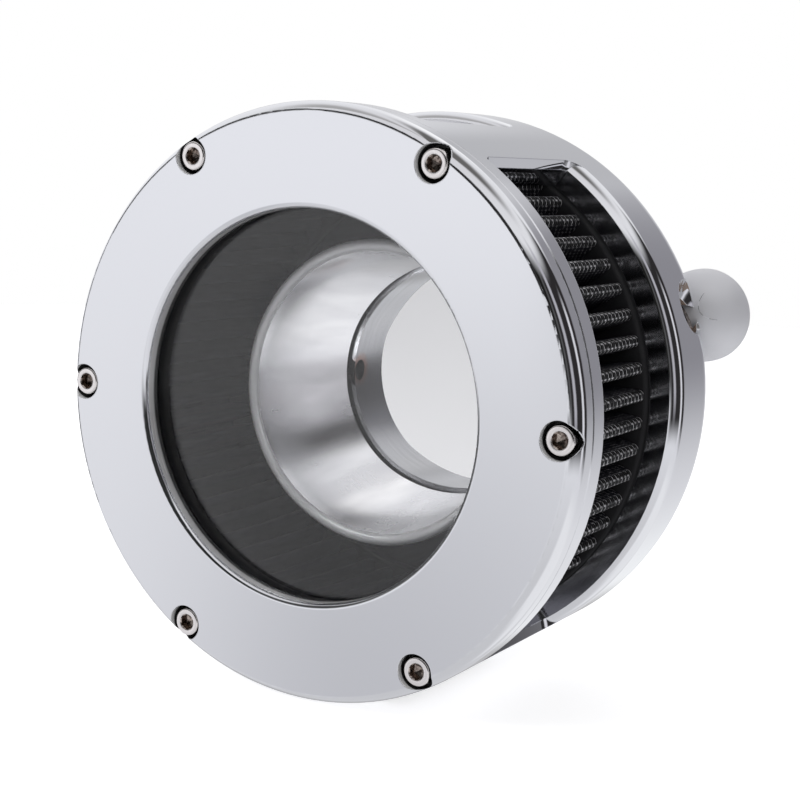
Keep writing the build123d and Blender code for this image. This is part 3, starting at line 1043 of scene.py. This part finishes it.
def screw_mesh():
    """A socket-head cap screw at the top of the circle: knurled head, socket and thread."""
    steps = 72
    angles = [2 * pi * step / steps for step in range(steps)]
    low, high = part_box("cover_screws")
    top, tip = low.y, high.y
    seat = top + 4.85 * MM
    head, head_round = 3.96 * MM, 0.5 * MM
    knurl_count, knurl_depth = 18, 0.09 * MM
    socket, socket_mouth = 3.97 * MM, 2.28 * MM
    mouth_round = 0.12 * MM
    shank, thread_depth, pitch = 2.38 * MM, 0.42 * MM, 0.8 * MM
    centre = settings().screws.circle_radius

    def ring(place, reach):
        return [(reach(a) * sin(a), place, reach(a) * cos(a) + centre) for a in angles]

    def circle(place, radius):
        return ring(place, lambda a: radius)

    def knurl(place):
        return ring(place, lambda a: head - knurl_depth * abs(sin(knurl_count * a)))

    def hexagon(place):
        return ring(place, lambda a: hexagon_reach(a, socket))

    def thread(place):
        def reach(a):
            return shank - thread_depth * abs((place / pitch - a / (2 * pi)) % 1.0 * 2 - 1)

        return ring(place, reach)

    rings = [
        circle(top + 3.3 * MM, 0.05 * MM),
        hexagon(top + 2.6 * MM),
        hexagon(top + 0.3 * MM),
        circle(top + 0.05 * MM, socket_mouth),
    ]
    for turn in range(5):
        swing = radians(90 * turn / 4)
        reach = socket_mouth + 0.08 * MM + mouth_round * (1 - cos(swing))
        rings.append(circle(top + mouth_round * (1 - sin(swing)), reach))
    for turn in range(7):
        swing = radians(90 * turn / 6)
        reach = head - 0.12 * MM - head_round * (1 - sin(swing))
        rings.append(circle(top + head_round * (1 - cos(swing)), reach))
    rings += [
        knurl(top + 0.9 * MM),
        knurl(seat - 0.25 * MM),
        circle(seat, head - 0.3 * MM),
        circle(seat, shank),
    ]
    place = seat + 0.2 * MM
    while place < tip - 0.4 * MM:
        rings.append(thread(place))
        place += pitch / 5
    rings.append(circle(tip, shank - 0.5 * MM))
    mesh = grid_mesh("cover_screw", rings, close_rows=True, fill_ends=True)
    inner = mesh.attributes.new("inner", "BOOLEAN", "FACE")
    socket_limit = 2.25 * MM
    for face in mesh.polygons:
        reach = hypot(face.center.x, face.center.z - centre)
        inner.data[face.index].value = reach < socket_limit and face.center.y < seat
    smooth_by_angle(mesh, 35)
    return mesh


class AIRCLEANER_OT_cover_screws(bpy.types.Operator):
    """Stainless cap screws round the cover ring"""

    bl_idname = "air_cleaner.cover_screws"
    bl_label = "Cover screws"

    def execute(self, context):
        screws = settings().screws
        mesh = round_the_axis(
            "cover_screw_set",
            screw_mesh(),
            screws.count,
            screws.first_angle,
            join_distance=0.0,
            finish=screw_finish(),
            inner_finish=socket_finish(),
        )
        new_piece("cover_screw_set", mesh, "cover_screws")
        return {"FINISHED"}


class AIRCLEANER_OT_window_lens(bpy.types.Operator):
    """Clear lens with a polished edge"""

    bl_idname = "air_cleaner.window_lens"
    bl_label = "Window lens"

    def execute(self, context):
        low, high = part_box("window_lens")
        edge = 0.4 * MM
        hub, middle, corner = 0.5 * MM, high.x * 0.5, high.x - edge
        outline = [(hub, low.y), (middle, low.y), (corner, low.y)]
        outline += arc_points((corner, low.y + edge), edge, -90, 0, 6)[1:]
        outline += arc_points((corner, high.y - edge), edge, 0, 90, 6)
        outline += [(middle, high.y), (hub, high.y)]
        mesh = lathe("window_lens_disc", outline, 192, close=False)
        face_outwards(mesh, fill=True)
        smooth_by_angle(mesh, 20)
        new_piece("window_lens_disc", mesh, "window_lens", [lens_finish()])
        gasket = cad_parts["lens_gasket"]
        colour = tuple(settings().element.cap_colour)
        gasket.data.materials[0] = rubber_finish("gasket_rubber", colour, 0.6, 3200.0)
        return {"FINISHED"}


def fold_line():
    """The middle line of one fold, from valley to valley, as (normal, point) pairs."""
    element = settings().element
    half = pi / element.pleats
    crest_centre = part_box("filter_pleats")[1].z - element.crest_radius
    valley_centre = MEDIA_INNER_RADIUS + element.valley_radius
    crest = element.crest_radius - element.thickness / 2
    valley = element.valley_radius - element.thickness / 2
    foot = (valley_centre * sin(half), valley_centre * cos(half))
    dx, dz = foot[0], foot[1] - crest_centre
    tilt = atan2(dx, dz) - acos((crest + valley) / hypot(dx, dz))
    steps = 8
    line = []
    for step in range(steps + 1):
        a = tilt * step / steps
        line.append(((sin(a), cos(a)), (crest * sin(a), crest_centre + crest * cos(a))))
    start = line[-1][1]
    end = (foot[0] - valley * sin(tilt), foot[1] - valley * cos(tilt))
    for step in range(1, steps):
        share = step / steps
        point = (start[0] + (end[0] - start[0]) * share, start[1] + (end[1] - start[1]) * share)
        line.append(((sin(tilt), cos(tilt)), point))
    for step in range(steps + 1):
        a = tilt + (half - tilt) * step / steps
        line.append(((sin(a), cos(a)), (foot[0] - valley * sin(a), foot[1] - valley * cos(a))))
    return [((-n[0], n[1]), (-p[0], p[1])) for n, p in reversed(line[1:])] + line


def pleat_strip():
    """One fold of the media, from the middle of one valley to the next, with its weave map."""
    element = settings().element
    low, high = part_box("filter_pleats")
    length = high.y - low.y
    line = fold_line()
    run = [0.0]
    for (_, a), (_, b) in zip(line, line[1:]):
        run.append(run[-1] + hypot(b[0] - a[0], b[1] - a[1]))
    cells_across = round(run[-1] / element.mesh_pitch / 2) * 2
    cells_along = length / element.mesh_pitch
    rows = 16
    points, maps = [], []
    for lift in (element.thickness / 2, -element.thickness / 2):
        for row in range(rows + 1):
            share = row / rows
            place = low.y + length * share
            for distance, (normal, point) in zip(run, line):
                points.append((point[0] + lift * normal[0], place, point[1] + lift * normal[1]))
                maps.append((distance / run[-1] * cells_across, share * cells_along))
    width = len(line)
    skin = (rows + 1) * width
    faces = []
    for row in range(rows):
        for step in range(width - 1):
            a = row * width + step
            faces.append((a, a + 1, a + 1 + width, a + width))
            b = a + skin
            faces.append((b, b + width, b + 1 + width, b + 1))
    for row in (0, rows):
        for step in range(width - 1):
            a = row * width + step
            b = a + skin
            faces.append((a, b, b + 1, a + 1) if row == 0 else (a, a + 1, b + 1, b))
    mesh = bpy.data.meshes.new("pleat_strip")
    mesh.from_pydata(points, [], faces)
    layer = mesh.uv_layers.new(name="weave")
    for loop in mesh.loops:
        layer.data[loop.index].uv = maps[loop.vertex_index]
    smooth_by_angle(mesh, 40)
    return mesh


class AIRCLEANER_OT_filter_media(bpy.types.Operator):
    """Pleated media, one fold repeated round the axis"""

    bl_idname = "air_cleaner.filter_media"
    bl_label = "Filter media"

    def execute(self, context):
        finish = media_finish()
        mesh = round_the_axis(
            "filter_media",
            pleat_strip(),
            settings().element.pleats,
            first_angle=0.0,
            join_distance=0.01 * MM,
            finish=finish,
            inner_finish=finish,
        )
        face_outwards(mesh)
        smooth_by_angle(mesh, 40)
        new_piece("filter_media", mesh, "filter_pleats")
        return {"FINISHED"}


class AIRCLEANER_OT_filter_caps(bpy.types.Operator):
    """Moulded end caps of the filter, with a parting line and a soft rim"""

    bl_idname = "air_cleaner.filter_caps"
    bl_label = "Filter caps"

    def execute(self, context):
        colour = tuple(settings().element.cap_colour)
        finish = rubber_finish("cap_rubber", colour, 0.85, 2600.0)
        corner = 0.8 * MM
        seam_half, seam_depth = 0.2 * MM, 0.15 * MM
        for name in ("filter_front_cap", "filter_rear_cap"):
            low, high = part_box(name)
            outer = high.x
            outer_centre, inner_centre = outer - corner, CAP_INNER_RADIUS + corner
            front, rear = low.y + corner, high.y - corner
            seam = (low.y + high.y) / 2
            outline = arc_points((outer_centre, front), corner, -90, 0, 6)
            outline += [(outer, seam - seam_half), (outer - seam_depth, seam)]
            outline += [(outer, seam + seam_half)]
            outline += arc_points((outer_centre, rear), corner, 0, 90, 6)
            outline += arc_points((inner_centre, rear), corner, 90, 180, 6)
            outline += arc_points((inner_centre, front), corner, 180, 270, 6)
            mesh = lathe(name + "_skin", outline, 160)
            smooth_by_angle(mesh, 35)
            new_piece(name + "_skin", mesh, name, [finish])
        return {"FINISHED"}


class AIRCLEANER_OT_velocity_stack(bpy.types.Operator):
    """Polished velocity stack with its rolled lip"""

    bl_idname = "air_cleaner.velocity_stack"
    bl_label = "Velocity stack"

    def execute(self, context):
        low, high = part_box("velocity_stack")
        rear = high.y
        lip = 1.6 * MM
        lip_place = low.y + lip
        mouth, base, wall = 39.4 * MM, 33.2 * MM, 2.2 * MM
        spigot, groove, groove_half = 38.95 * MM, 36.55 * MM, 1.4 * MM
        rear_edge = 0.6 * MM
        back_wall = settings().housing.back_wall
        collar, collar_round = 41.6 * MM, 0.4 * MM
        collar_front = back_wall - 2.5 * MM
        seal = (back_wall + rear) / 2

        def bore(place):
            return base + (place - rear) / (lip_place - rear) * (mouth - base)

        outline = []
        for step in range(13):
            place = rear - 0.5 * MM + (lip_place - rear + 0.5 * MM) * step / 12
            outline.append((bore(place), place))
        neck = degrees(acos((wall - lip) / lip))
        outline += arc_points((mouth + lip, lip_place), lip, 180, 360 + neck, 40)[1:]
        outline.append((bore(collar_front) + wall, collar_front))
        collar_centre = (collar - collar_round, collar_front + collar_round)
        outline += arc_points(collar_centre, collar_round, -90, 0, 4)
        outline += [
            (collar, back_wall),
            (spigot, back_wall),
            (spigot, seal - groove_half),
            (groove, seal - groove_half),
            (groove, seal + groove_half),
            (spigot, seal + groove_half),
            (spigot, rear - rear_edge),
            (spigot - rear_edge, rear),
            (base + 0.5 * MM, rear),
        ]
        mesh = lathe("velocity_stack_skin", outline, 256)
        smooth_by_angle(mesh, 30)
        finishes = [stack_finish(), lip_highlight_finish()]
        new_piece("velocity_stack_skin", mesh, "velocity_stack", finishes)
        for face in mesh.polygons:
            x, y, z = face.center
            rolled = y < lip_place - 0.1 * MM or hypot(x, z) > mouth + 0.7 * MM
            if rolled and y < collar_front - 1.0 * MM:
                face.material_index = 1
        return {"FINISHED"}


class AIRCLEANER_OT_seals(bpy.types.Operator):
    """Seal rings at the stack, the throttle flange and the breather sockets"""

    bl_idname = "air_cleaner.seals"
    bl_label = "Seals"

    def execute(self, context):
        finish = rubber_finish("seal_rubber", (0.02, 0.02, 0.021), 0.42, 5200.0)
        for name in ("stack_seal", "throttle_seal", "breather_seal_left", "breather_seal_right"):
            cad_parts[name].data.materials[0] = finish
        return {"FINISHED"}


class AIRCLEANER_OT_passage_plugs(bpy.types.Operator):
    """Hexagon socket plugs in the drilled passages"""

    bl_idname = "air_cleaner.passage_plugs"
    bl_label = "Passage plugs"

    def execute(self, context):
        finish = bpy.data.materials["broached_socket"]
        for name in ("passage_plug_left", "passage_plug_right"):
            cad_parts[name].data.materials[0] = finish
        return {"FINISHED"}


# Stage


# Brightness of the surround from straight down to straight up
SURROUND = [
    (0.0, (0.66, 0.66, 0.68)),
    (0.24, (0.69, 0.69, 0.71)),
    (0.38, (0.80, 0.80, 0.83)),
    (0.46, (0.905, 0.905, 0.935)),
    (0.505, (0.955, 0.955, 0.99)),
    (0.72, (0.91, 0.91, 0.93)),
    (0.90, (0.80, 0.79, 0.81)),
]

# Fields of the surround, later ones over earlier ones. Each has its sides in degrees round
# from the front by the right with the softness of both, its foot and head in degrees of
# height with the softness of both, and its colour.
STUDIO_FIELDS = [
    (-37, 5, -22, 10, -60, 5, -10, 9, (0.62, 0.62, 0.65)),
    (194, 6, 225, 8, -6, 4, 18, 5, (0.68, 0.68, 0.70)),
    (236, 14, 275, 5, 50, 9, 99, 5, (0.46, 0.45, 0.45)),
    (100, 20, 206, 14, 60, 9, 99, 5, (0.16, 0.155, 0.15)),
    (-80, 8, 20, 8, 12, 6, 50, 8, (0.07, 0.07, 0.07)),
    (-22, 5, 40, 6, -7, 6, 50, 8, (0.03, 0.03, 0.03)),
    (-92, 6, -56, 6, -12, 4, 30, 8, (0.12, 0.12, 0.12)),
    (176, 10, 214, 10, -30, 6, -6, 6, (0.95, 0.96, 0.98)),
    (186, 8, 204, 10, 30, 4, 50, 9, (1.14, 1.13, 1.13)),
    (140, 5, 186, 22, -12, 14, 28, 5, (0.29, 0.285, 0.31)),
    (183, 4, 203, 6, 10, 5, 29, 4, (0.54, 0.54, 0.56)),
    (62, 8, 151, 5, -15, 5, 42, 7, (0.03, 0.028, 0.029)),
    (36, 6, 66, 8, -4, 6, 42, 7, (0.012, 0.012, 0.011)),
    (119, 3, 131, 3, -20, 8, 26, 5, (0.80, 0.79, 0.83)),
    (78, 3, 90, 3, -8, 8, 48, 6, (0.50, 0.49, 0.53)),
    (100, 8, 172, 8, -62, 8, -26, 6, (0.92, 0.92, 0.94)),
    (197, 6, 240, 12, -48, 8, -14, 6, (0.47, 0.47, 0.48)),
]

# Where the photograph's camera stands, and the ways that its picture's sides and its back face
CAMERA_PLACE = (0.2350, -0.4389, 0.0642)
CAMERA_AXES = (
    (0.85675, 0.51473, 0.03197),
    (-0.10199, 0.10834, 0.98887),
    (0.50554, -0.85048, 0.14532),
)


def band(value, low, low_soft, high, high_soft):
    """One between two angles and nought outside them, with soft edges."""
    shares = []
    for edge, soft in ((low, low_soft), (high, -high_soft)):
        limits = radians(edge - soft), radians(edge + soft)
        shares.append(fraction(value, *limits, interpolation_type="SMOOTHSTEP"))
    return times(*shares)


def studio_world():
    """A white studio whose fields are what the chrome mirrors. The camera sees plain white."""
    world = bpy.data.worlds.new("studio")
    bpy.context.scene.world = world
    tree = cleared_tree(world)
    x, y, z = axes(node(tree, "ShaderNodeTexCoord").outputs["Generated"])
    turn = plus(maths("ARCTAN2", y, x), pi / 2)
    rise = maths("ARCSINE", z)
    light = ramp(fraction(rise, radians(-90), radians(90)), SURROUND)
    for field in STUDIO_FIELDS:
        share = times(band(turn, *field[0:4]), band(rise, *field[4:8]))
        light = mix_colour(share, light, field[8])
    seen = node(tree, "ShaderNodeLightPath").outputs["Is Camera Ray"]
    colour = mix_colour(seen, light, (1.0, 1.0, 1.0))
    back = node(tree, "ShaderNodeBackground", {"Color": colour, "Strength": 1.0})
    node(tree, "ShaderNodeOutputWorld", {"Surface": back.outputs[0]})


def floor_finish():
    """Pale paper with a glow of its own, so that the camera sees it as nearly white."""
    material = bpy.data.materials.new("pale_floor")
    tree = cleared_tree(material)
    colour = tuple(settings().stage.floor_colour)
    grain = noise(object_point(tree), 60.0, 3.0)
    tint = mix_colour(grain, colour, shaded(colour, 0.985))
    path = node(tree, "ShaderNodeLightPath").outputs
    seen = times(path["Is Camera Ray"], 0.66)
    seen = times_plus(path["Is Transmission Ray"], 0.13, seen)
    paper = node(tree, "ShaderNodeBsdfDiffuse", {"Color": tint})
    white = (1.0, 1.0, 1.0, 1.0)
    glow = node(tree, "ShaderNodeEmission", {"Color": white, "Strength": seen})
    both = node(tree, "ShaderNodeAddShader", {0: paper.outputs[0], 1: glow.outputs[0]})
    node(tree, "ShaderNodeOutputMaterial", {"Surface": both.outputs[0]})
    return material


def area_lamp(name, place, size, power):
    """A rectangular lamp that faces the origin and shows in no reflection."""
    lamp = bpy.data.lights.new(name, "AREA")
    lamp.shape = "RECTANGLE"
    lamp.size, lamp.size_y = size
    lamp.energy = power
    holder = placed(name, lamp)
    holder.location = place
    holder.rotation_euler = (-Vector(place)).to_track_quat("-Z", "Y").to_euler()
    holder.visible_camera = False
    holder.visible_glossy = False


class AIRCLEANER_OT_stage(bpy.types.Operator):
    """Floor, light and camera"""

    bl_idname = "air_cleaner.stage"
    bl_label = "Stage"

    def execute(self, context):
        scene = context.scene
        scene.view_settings.view_transform = "Standard"
        studio_world()
        bottom = -settings().housing.outer_radius - 0.05 * MM
        mesh = bpy.data.meshes.new("floor_sheet")
        work = bmesh.new()
        bmesh.ops.create_circle(work, cap_ends=True, radius=1.1, segments=96)
        work.to_mesh(mesh)
        work.free()
        mesh.transform(Matrix.Translation((0.0, 0.0, bottom)))
        mesh.materials.append(floor_finish())
        floor = placed("floor_sheet", mesh)
        floor.visible_glossy = False
        area_lamp("key_lamp", (-0.6, -0.9, 0.9), (0.6, 0.6), 9.0)
        area_lamp("fill_lamp", (0.9, -0.7, 0.5), (0.5, 0.7), 4.0)
        camera = bpy.data.cameras.new("camera")
        camera.lens = settings().stage.lens
        camera.sensor_width = 36.0
        camera.clip_start = 0.01
        eye = placed("camera", camera)
        turn = Matrix(CAMERA_AXES).transposed().to_4x4()
        eye.matrix_world = Matrix.Translation(CAMERA_PLACE) @ turn
        scene.camera = eye
        return {"FINISHED"}


PIECE_OPERATORS = (
    AIRCLEANER_OT_housing,
    AIRCLEANER_OT_cover_ring,
    AIRCLEANER_OT_cover_screws,
    AIRCLEANER_OT_window_lens,
    AIRCLEANER_OT_filter_media,
    AIRCLEANER_OT_filter_caps,
    AIRCLEANER_OT_velocity_stack,
    AIRCLEANER_OT_seals,
    AIRCLEANER_OT_passage_plugs,
    AIRCLEANER_OT_stage,
)


class AIRCLEANER_PT_panel(bpy.types.Panel):
    """Lists the pieces and their settings"""

    bl_idname = "AIRCLEANER_PT_panel"
    bl_label = "Air cleaner"
    bl_space_type = "VIEW_3D"
    bl_region_type = "UI"
    bl_category = "Air Cleaner"

    def draw(self, context):
        for operator in PIECE_OPERATORS:
            self.layout.operator(operator.bl_idname)
        for title in ("chrome", "housing", "element", "screws", "stage"):
            group = getattr(context.scene.air_cleaner, title)
            box = self.layout.box()
            for name in group.__annotations__:
                box.prop(group, name)


CLASSES = (
    ChromeSettings,
    HousingSettings,
    FilterSettings,
    ScrewSettings,
    StageSettings,
    AirCleanerSettings,
    *PIECE_OPERATORS,
    AIRCLEANER_PT_panel,
)


def register():
    for made in CLASSES:
        bpy.utils.register_class(made)
    bpy.types.Scene.air_cleaner = PointerProperty(type=AirCleanerSettings)


def unregister():
    del bpy.types.Scene.air_cleaner
    for made in reversed(CLASSES):
        bpy.utils.unregister_class(made)


def main():
    register()
    build_shared_groups()
    repeat_tree()
    for operator in PIECE_OPERATORS:
        group, name = operator.bl_idname.split(".")
        getattr(getattr(bpy.ops, group), name)()


if __name__ == "__main__":
    main()
